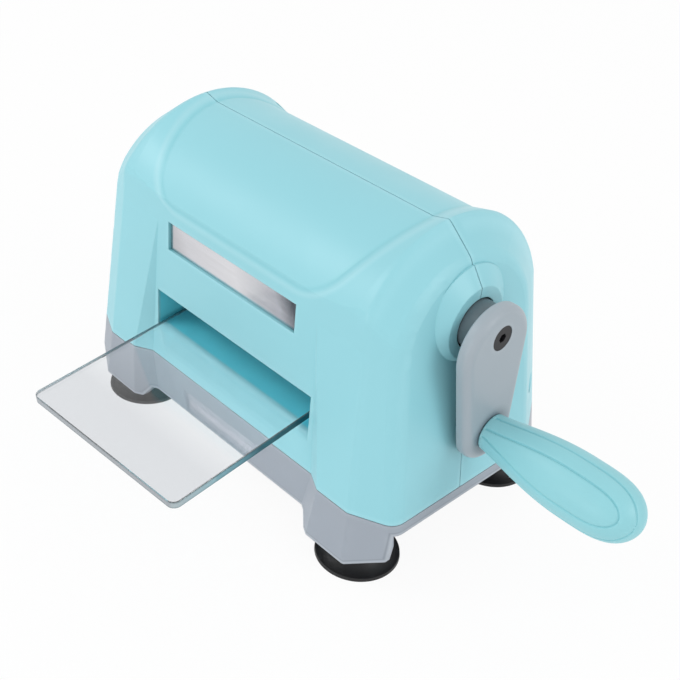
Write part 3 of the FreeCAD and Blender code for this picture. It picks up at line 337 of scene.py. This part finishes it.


# Painted shade, highlight and bounce light that follow the shape

def sunk_edge(s):
    """The step around the sunk crown: a bump, with a painted shade line and a painted highlight
    ridge just outside it.
    """
    x, y, z = s.axes()
    lean = math.tan(math.radians(SUNK_LEAN))
    square_to_side = 0.9
    across = s.math("SUBTRACT", s.math("ABSOLUTE", x), (SUNK_HALF - lean * SUNK_TOP) * MM)
    across = s.math("SUBTRACT", across, s.times(z, lean))
    across = s.times(across, square_to_side)
    # behind the seam the lower edge is left open
    down = s.math("SUBTRACT", SUNK_LOW * MM, z)
    down = s.math("SUBTRACT", down, s.times(s.math("MAXIMUM", y, 0.0), 2.0))
    squares = []
    for value in (across, down):
        value = s.math("MAXIMUM", s.math("ADD", value, SUNK_CORNER * MM), 0.0)
        squares.append(s.math("POWER", value, 2.0))
    away = s.math("SQRT", s.math("ADD", *squares))
    away = s.math("SUBTRACT", away, SUNK_CORNER * MM)
    front = s.fall(y, 30.0, 50.0)
    # painted shade along the step and a painted highlight on the ridge beside it
    line = s.times(s.bell(away, *SUNK_SHADE_LINE), front)
    painted_ridge = s.times(s.bell(away, *SUNK_HIGHLIGHT_RIDGE), front)
    colour = s.blend(line, s.colour(), TURQUOISE_PAINTED_SHADE)
    s.paint(s.blend(painted_ridge, colour, TURQUOISE_PAINTED_HIGHLIGHT))
    step = s.times(s.rise(away, 0.0, 2.5), front)
    bump = s.bsdf.inputs["Normal"].links[0].from_node
    rounded = bump.inputs["Normal"].links[0].from_socket
    s.join(s.bump(step, 0.6, 0.0005, rounded), bump.inputs["Normal"])


def throat_painted_bounce(s):
    """Painted bounce light: the throat's walls and ledge are painted a deeper, brighter
    turquoise in place of the light that bounces between them.
    """
    x, y, z = s.axes()
    start = s.ramp(z, THROAT_LEDGE_START * MM, THROAT_WALL_START * MM,
                   (THROAT_LEDGE - 0.1) * MM, (THROAT_LEDGE + 0.1) * MM)
    inside = s.times(s.rise(s.math("SUBTRACT", y, start), 0.0, 1.2),
                     s.rise(z, THROAT_FLOOR - 0.8, THROAT_FLOOR),
                     s.fall(z, THROAT_ROOF, THROAT_ROOF + 0.5),
                     s.fall(s.math("ABSOLUTE", x), THROAT_SIDE, THROAT_SIDE + 0.5))
    # painted bounce light inside the throat
    s.paint(s.blend(inside, s.colour(), TURQUOISE_PAINTED_BOUNCE))


def line_distance(s, along, up, line):
    """Distance from a line in the (along, up) plane, positive on its upper left side."""
    (x0, z0), (x1, z1) = line
    dx, dz = x1 - x0, z1 - z0
    size = math.hypot(dx, dz)
    value = s.math("ADD", s.times(along, -dz / size), s.times(up, dx / size))
    return s.math("SUBTRACT", value, (dx * z0 - dz * x0) / size * MM)


def painted_rim_bead(s):
    """A narrow bead along the lower edge of the base and its legs, only painted: a painted
    highlight stripe with a painted shade line above it.
    """
    x, y, z = s.axes()
    x = s.math("ABSOLUTE", x)
    y = s.math("ABSOLUTE", y)
    arch = s.math("MAXIMUM", line_distance(s, x, z, ARCH_SLOPE),
                  s.math("SUBTRACT", z, ARCH_TOP * MM))
    end = s.math("MAXIMUM", s.math("SUBTRACT", z, END_ARCH_TOP * MM),
                 line_distance(s, y, z, END_ARCH_SLOPE))
    end = s.math("MAXIMUM", end, s.math("SUBTRACT", END_WALL * MM, x))
    low = s.math("SUBTRACT", z, LEG_FOOT * MM)
    for edge in (line_distance(s, x, z, LEG_SLOPE), arch, end):
        low = s.math("MINIMUM", low, edge)
    # painted highlight stripe along the edge and a painted shade line above it
    colour = s.blend(s.bell(low, *BEAD_HIGHLIGHT_STRIPE), s.colour(), BEAD_PAINTED_HIGHLIGHT)
    s.paint(s.blend(s.bell(low, *BEAD_PAINTED_SHADE_STRIPE), colour, BEAD_PAINTED_SHADE))


def painted_collar_shade(s):
    """Painted shade on the crank arm's collar, which runs into the housing; the collar is the
    arm's own grey.
    """
    x, _, _ = s.axes()
    collar = s.fall(x, COLLAR_END - 0.2, COLLAR_END + 0.2)
    # painted shade on the collar
    s.paint(s.blend(collar, s.colour(), CRANK_COLLAR_SHADE))


def bare_plate():
    """Polished bare metal of the name plate, with painted reflections that turn darker towards
    its right end.
    """
    s = metal("label_metal", LABEL_METAL, 0.2, (0.05, 1.0, 1.0), 700.0, 0.0002)
    x, _, z = s.axes()
    across = s.math("ADD", x, s.times(z, 0.6))
    # painted reflections across the name plate
    painted_reflection = s.stops(across, PAINTED_REFLECTION_COLOURS, PAINTED_REFLECTION_ENDS)
    s.paint(s.blend(1.0, s.colour(), painted_reflection, "MULTIPLY"))
    return s


def clear_plate():
    """Clear acrylic: faces with painted shade towards the front end, and cut edges with a
    painted reflection of the housing's teal, painted shade deeper inside and painted shade lines
    along them.
    """
    s = Shader("clear_plate")
    # the cut edges: painted reflection of the housing's teal, painted shade deeper inside and
    # painted shade lines
    edge = s.stops(s.along(s.place(), PLATE_RUN), EDGE_PAINTED_LIGHT, EDGE_PAINTED_LIGHT_ENDS)
    height = s.along(s.place(), PLATE_NORMAL)
    for below, width, strength in PLATE_SHADE_LINES:
        line = s.bell(height, PLATE_TOP - below, width, strength)
        edge = s.blend(line, edge, PLATE_EDGE_PAINTED_SHADE)
    _, y, _ = s.axes()
    # the front of the plate is painted greyer: painted shade of the floor seen through it
    clear = s.blend(s.rise(y, -74.0, -50.0), PLATE_FRONT_SHADE, PLATE_CLEAR)
    lean = s.along(s.node("ShaderNodeTexCoord").outputs["Normal"], PLATE_NORMAL)
    face = s.ramp(s.math("ABSOLUTE", lean), 0.0, 1.0, 0.5, 0.8)
    s.paint(s.blend(face, edge, clear))
    s.join(s.math("ADD", s.times(face, 0.88), 0.12), s.bsdf.inputs["Transmission Weight"])
    s.bsdf.inputs["IOR"].default_value = 1.49
    scratches = s.noise(160.0, 4.0, 0.6, (1.0, 0.06, 1.0))
    s.join(s.ramp(scratches, 0.015, 0.06, 0.55, 0.8), s.bsdf.inputs["Roughness"])
    absorb = s.node("ShaderNodeVolumeAbsorption")
    absorb.inputs["Color"].default_value = PLATE_DEPTH
    absorb.inputs["Density"].default_value = 8.0
    s.join(absorb.outputs["Volume"], s.output.inputs["Volume"])
    # light from the lamps passes to what lies under the plate
    s.surface(s.node("ShaderNodeLightPath").outputs["Is Shadow Ray"],
              s.node("ShaderNodeBsdfTransparent").outputs["BSDF"])
    return s


# Materials of the pieces

def set_material(shader, names):
    for name in names:
        mesh = nodes[name].data
        mesh.materials.clear()
        mesh.materials.append(shader.material)
        for polygon in mesh.polygons:
            polygon.material_index = 0


shell = moulded("shell_turquoise", TURQUOISE, 0.38, shade_colour=TURQUOISE_PAINTED_SHADE)
sunk_edge(shell)
throat_painted_bounce(shell)
grip_plastic = moulded("grip_turquoise", GRIP_TURQUOISE, 0.42, 0.0002, shade_colour=GRIP_PAINTED_SHADE)
base_plastic = moulded("base_grey", BASE_GREY, 0.42, 0.0006, shade_colour=BASE_PAINTED_SHADE)
painted_rim_bead(base_plastic)
# the crank's painted shade also sees the grip and the housing: a painted contact shadow
crank_plastic = moulded("crank_grey", CRANK_GREY, 0.4, 0.0007, shade_colour=CRANK_PAINTED_SHADE, alone=False)
painted_collar_shade(crank_plastic)

set_material(shell, ["front_shell", "rear_shell"])
set_material(grip_plastic, ["grip"])
set_material(base_plastic, ["base"])
set_material(crank_plastic, ["crank_arm"])
set_material(rubber(), [n for n in nodes if n.startswith("suction_foot")])
set_material(clear_plate(), ["cutting_plate"])
set_material(bare_plate(), ["label_plate"])
set_material(moulded("dark_steel", DARK_STEEL, 0.4, 0.0002, 0.3),
             ["crank_hub_screw", "crank_shaft_ring", "upper_roller_rings",
              "lower_roller_rings", "shell_screws", "base_screws", "frame_bolts",
              "frame_foot_bolts"])
set_material(metal("roller_steel", ROLLER_STEEL, 0.3, (0.04, 1.0, 1.0)),
             ["upper_roller", "lower_roller", "upper_roller_shaft", "lower_roller_shaft",
              "crank_shaft", "grip_spindle", "frame_tie_rods", "bearing_frame_standoffs"])
set_material(metal("frame_steel", FRAME_STEEL, 0.38, (1.0, 1.0, 0.05)),
             ["left_side_frame", "right_side_frame", "outer_bearing_frame"])
set_material(metal("bearing_bronze", BRONZE, 0.36, (0.1, 1.0, 1.0)),
             [n for n in nodes if n.endswith("bushing")])
set_material(metal("gear_steel", GEAR_STEEL, 0.34, (1.0, 0.2, 1.0)),
             ["upper_roller_gear", "lower_roller_gear", "crank_driven_gear", "crank_pinion"])


# Meshes made here

def make_mesh(name, points, faces, material, smooth):
    mesh = bpy.data.meshes.new(name)
    mesh.from_pydata([tuple(p) for p in points], [], [tuple(f) for f in faces])
    mesh.update()
    mesh.materials.append(material)
    if smooth:
        mesh.polygons.foreach_set("use_smooth", [True] * len(mesh.polygons))
    made = bpy.data.objects.new(name, mesh)
    bpy.context.scene.collection.objects.link(made)
    return made


def side_faces(rows, count):
    """Faces between closed rows of points that follow one another."""
    faces = []
    for row in range(rows - 1):
        here, there = row * count, (row + 1) * count
        for j in range(count):
            k = (j + 1) % count
            faces.append((here + j, here + k, there + k, there + j))
    return faces


# Grip with its engraved lines

def grip_radius(out, length):
    """The grip's radius at a distance out from its root."""
    rise = np.clip(out / GRIP_WIDEST_AT, 0.0, 1.0)
    fall = np.clip((out - GRIP_WIDEST_AT) / (length - GRIP_WIDEST_AT), 0.0, 1.0)
    front = GRIP_ROOT + (GRIP_WIDEST - GRIP_ROOT) * np.sin(0.5 * math.pi * rise) ** 1.2
    back = GRIP_WIDEST * (1.0 - fall ** 3.75) ** 0.55
    return np.where(out < GRIP_WIDEST_AT, front, back)


def groove_points(along, ring, length):
    """Two loops on each face, an even distance inside the grip's outline."""
    slope = np.gradient(ring, along)
    slope[-1] = slope[-2]
    normal = np.stack([-slope, np.ones_like(slope)], 1)
    normal /= np.linalg.norm(normal, axis=1)[:, None]
    root_gap, steps = 0.8, 900
    loops = []
    for inset in GROOVE_INSETS:
        out = along - inset * normal[:, 0]
        side = ring - inset * normal[:, 1]
        keep = (side > 0.0) & (out > root_gap)
        # each loop closes on the grip's middle line at its far end
        out = np.append(out[keep], out[keep][-1])
        side = np.append(side[keep], 0.0)
        given = np.arange(len(out))
        fine = np.linspace(0, len(out) - 1, steps)[::3]
        out, side = np.interp(fine, given, out), np.interp(fine, given, side)
        height = np.sqrt(np.maximum(grip_radius(out, length) ** 2 - side ** 2, 0.0))
        for left_or_right in (-1.0, 1.0):
            for face in (-1.0, 1.0):
                loops.append(np.stack([out, left_or_right * side, face * height], 1))
    return np.concatenate(loops)


def engrave(points, path):
    """Points moved towards the grip's axis where they are near the path."""
    depth = np.zeros(len(points))
    batch = 2000
    for k in range(0, len(points), batch):
        apart = points[k:k + batch, None, :] - path[None]
        gap = np.sqrt((apart ** 2).sum(2)).min(1)
        depth[k:k + batch] = GROOVE_DEPTH * np.exp(-(gap / GROOVE_WIDTH) ** 2)
    out = points * (0.0, 1.0, 1.0)
    size = np.maximum(np.linalg.norm(out, axis=1), 1e-6)
    return points - out / size[:, None] * depth[:, None]


def engraved_grip(rows=241, count=432):
    low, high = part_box("grip")
    start, end = low[0] / MM, high[0] / MM
    middle_y, middle_z = 0.5 * (low[1] + high[1]) / MM, 0.5 * (low[2] + high[2]) / MM
    length = end - start
    turn = np.linspace(0.0, 1.0, rows)
    along = length * (0.45 * turn + 0.55 * np.sin(0.5 * math.pi * turn))
    ring = grip_radius(along, length)
    ring[-1] = 0.0
    angle = np.linspace(0.0, 2.0 * math.pi, count, endpoint=False)
    points = np.zeros((rows, count, 3))
    points[:, :, 0] = along[:, None]
    points[:, :, 1] = ring[:, None] * np.sin(angle)
    points[:, :, 2] = ring[:, None] * np.cos(angle)
    flat = engrave(points.reshape(-1, 3), groove_points(along, ring, length))

    # the engraved faces turned to where one looks forward and up
    facing = math.radians(GRIP_FACING)
    face_y, face_z = math.cos(facing), math.sin(facing)
    world = np.zeros_like(flat)
    world[:, 0] = start + flat[:, 0]
    world[:, 1] = middle_y + flat[:, 2] * face_y - flat[:, 1] * face_z
    world[:, 2] = middle_z + flat[:, 2] * face_z + flat[:, 1] * face_y
    root = len(world)
    world = np.vstack([world, [[start, middle_y, middle_z]]])
    faces = side_faces(rows, count) + [(root, (j + 1) % count, j) for j in range(count)]
    made = make_mesh("grip_body", world * MM, faces, grip_plastic.material, True)
    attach(made, "grip")
    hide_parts("grip")


engraved_grip()


# Plate with its small corner radius and broken edges

def sheet_outline(low, high, inset, steps=14):
    """The sheet's outline with rounded corners, an even distance inside its box."""
    outline = []
    radius = PLATE_CORNER - inset
    corners = ((1, 1), (-1, 1), (-1, -1), (1, -1))
    for k, (right, far) in enumerate(corners):
        x = high[0] - PLATE_CORNER if right > 0 else low[0] + PLATE_CORNER
        y = high[1] - PLATE_CORNER if far > 0 else low[1] + PLATE_CORNER
        for turn in np.linspace(0.5 * math.pi * k, 0.5 * math.pi * (k + 1), steps):
            outline.append((x + radius * math.cos(turn), y + radius * math.sin(turn)))
    return outline


def clear_sheet():
    node = nodes["cutting_plate"]
    points = np.array([node.matrix_world @ v.co for v in node.data.vertices]) / MM
    up = Vector(PLATE_NORMAL).normalized()
    run = Vector(PLATE_RUN)
    run = (run - up * run.dot(up)).normalized()
    axes = np.array([run.cross(up), run, up])
    low, high = (points @ axes.T).min(0), (points @ axes.T).max(0)
    low[1] += PLATE_SHORTER
    high[1] -= PLATE_SHORTER
    levels = ((low[2], PLATE_BROKEN_EDGE), (low[2] + PLATE_BROKEN_EDGE, 0.0),
              (high[2] - PLATE_BROKEN_EDGE, 0.0), (high[2], PLATE_BROKEN_EDGE))
    rings = [[(x, y, level) for x, y in sheet_outline(low, high, inset)]
             for level, inset in levels]
    rows, count = len(rings), len(rings[0])
    flat = np.concatenate(rings)
    below = tuple(reversed(range(count)))
    above = tuple(range((rows - 1) * count, rows * count))
    faces = [below, above] + side_faces(rows, count)
    made = make_mesh("plate_sheet", (flat @ axes) * MM, faces, node.data.materials[0], False)
    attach(made, "plate")
    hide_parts("cutting_plate")


clear_sheet()


# Floor, light and camera

FLOOR_HALF, FLOOR_HEIGHT, FLOOR_GLOW = 6.0, -0.00005, 0.93
WORLD_LIGHT, WORLD_SEEN = 0.72, 1.0
# each light's name, place, the point it faces, its size in metres and its power in watts
LIGHTS = [("key", (-0.75, -0.8, 1.0), (0.0, 0.0, 0.05), 0.6, 3.4),
          ("fill", (0.0, -1.2, 0.3), (0.0, 0.0, 0.05), 0.7, 2.4),
          ("side", (1.2, 0.35, 0.7), (0.05, 0.0, 0.05), 0.7, 3.7),
          ("top", (0.1, 0.6, 1.3), (0.0, 0.0, 0.05), 0.8, 0.9)]
# the camera's place, its angles round the machine, above it and of roll, and its lens
CAMERA_PLACE, CAMERA_ANGLES = (0.2455, -0.24705, 0.2841), (42.46, 34.21, 5.91)
CAMERA_LENS, CAMERA_SENSOR = 59.05, 36.0


def seen(tree):
    """One for rays from the camera, from gloss and through clear plastic."""
    path = tree.nodes.new("ShaderNodeLightPath")
    value = path.outputs["Is Camera Ray"]
    for name in ("Is Glossy Ray", "Is Transmission Ray"):
        larger = tree.nodes.new("ShaderNodeMath")
        larger.operation = "MAXIMUM"
        tree.links.new(value, larger.inputs[0])
        tree.links.new(path.outputs[name], larger.inputs[1])
        value = larger.outputs[0]
    return value


def floor():
    s = Shader("floor_white")
    s.bsdf.inputs["Base Color"].default_value = FLOOR_WHITE
    s.bsdf.inputs["Roughness"].default_value = 0.7
    s.bsdf.inputs["Specular IOR Level"].default_value = 0.2
    s.surface(s.times(seen(s.tree), FLOOR_GLOW),
              s.node("ShaderNodeEmission").outputs["Emission"])
    corners = [(x * FLOOR_HALF, y * FLOOR_HALF, 0.0)
               for x, y in ((-1, -1), (1, -1), (1, 1), (-1, 1))]
    made = make_mesh("floor", corners, [(0, 1, 2, 3)], s.material, False)
    made.location = (0.0, 0.0, FLOOR_HEIGHT)


def area_light(name, place, target, size, power):
    light = bpy.data.lights.new(name, "AREA")
    light.shape = "DISK"
    light.size = size
    light.energy = power
    made = bpy.data.objects.new(name, light)
    made.location = place
    made.rotation_euler = (Vector(target) - Vector(place)).to_track_quat("-Z", "Y").to_euler()
    bpy.context.scene.collection.objects.link(made)


def world_light():
    world = bpy.data.worlds.new("studio")
    bpy.context.scene.world = world
    world.use_nodes = True
    tree = world.node_tree
    background = tree.nodes["Background"]
    background.inputs["Color"].default_value = (1.0, 1.0, 1.0, 1.0)
    lit = tree.nodes.new("ShaderNodeMapRange")
    lit.inputs["To Min"].default_value = WORLD_LIGHT
    lit.inputs["To Max"].default_value = WORLD_SEEN
    tree.links.new(seen(tree), lit.inputs["Value"])
    tree.links.new(lit.outputs["Result"], background.inputs["Strength"])


def camera():
    azimuth, elevation, roll = (math.radians(angle) for angle in CAMERA_ANGLES)
    back = Vector((math.sin(azimuth) * math.cos(elevation),
                   -math.cos(azimuth) * math.cos(elevation), math.sin(elevation)))
    level = Vector((math.cos(azimuth), math.sin(azimuth), 0.0))
    right = level * math.cos(roll) + back.cross(level) * math.sin(roll)
    turn = Matrix((right, back.cross(right), back)).transposed().to_4x4()
    data = bpy.data.cameras.new("camera")
    data.lens = CAMERA_LENS
    data.sensor_width = CAMERA_SENSOR
    data.clip_start = 0.01
    made = bpy.data.objects.new("camera", data)
    made.matrix_world = Matrix.Translation(Vector(CAMERA_PLACE)) @ turn
    bpy.context.scene.collection.objects.link(made)
    bpy.context.scene.camera = made


floor()
world_light()
for settings in LIGHTS:
    area_light(*settings)
camera()
bpy.context.scene.view_settings.view_transform = "Standard"
